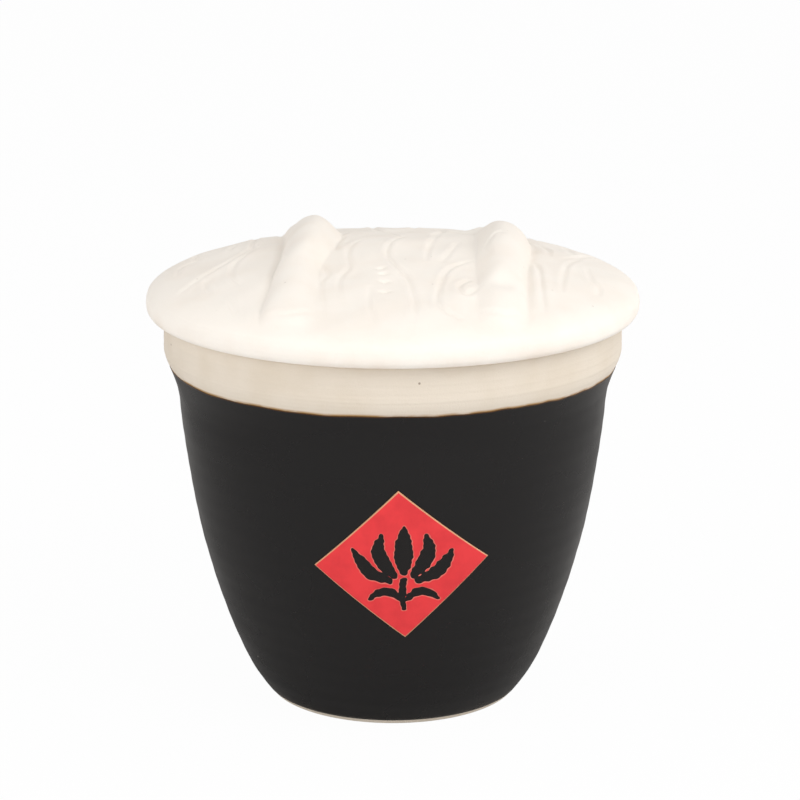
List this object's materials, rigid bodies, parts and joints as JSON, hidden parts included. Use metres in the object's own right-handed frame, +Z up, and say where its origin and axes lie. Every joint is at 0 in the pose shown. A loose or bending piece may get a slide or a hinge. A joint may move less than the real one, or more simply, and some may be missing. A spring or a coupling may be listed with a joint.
{
  "type": "storage jar",
  "caption": "Squat round stoneware storage jar with a black coat below a bare collar, a raised red diamond panel, and a lift-off domed lid with fish in relief.",
  "frame": {"origin": "centre of the base, on the surface that the jar stands on", "axes": "+Z up along the jar's axis, -Y out of the front, where the diamond panel is, +X to the right seen from the front"},
  "size_m": [0.257, 0.257, 0.2502],
  "materials": {
    "bare_clay": "bare beige stoneware, matt, with fine throwing lines",
    "black_glaze": "glossy black coat with fine pinholes",
    "inner_glaze": "glossy dark brown coat",
    "red_panel": "satin red with a thin cream edge line and black brushed ornament",
    "lid_bisque": "warm white bisque, matt and slightly sandy"
  },
  "bodies": {
    "jar": {"foot_ring": "bare_clay", "jar_wall": "bare_clay", "rim_band": "bare_clay", "outer_glaze": "black_glaze", "inner_glaze": "inner_glaze", "diamond_panel": "red_panel"},
    "lid": {"lid_dome": "lid_bisque", "lid_flange": "lid_bisque", "left_fish": "lid_bisque", "right_fish": "lid_bisque"}
  },
  "joints": [
    {"name": "lid_lift", "type": "slide", "parent": "jar", "child": "lid", "axis": [0, 0, 1], "range_m": [0, 0.12]}
  ]
}
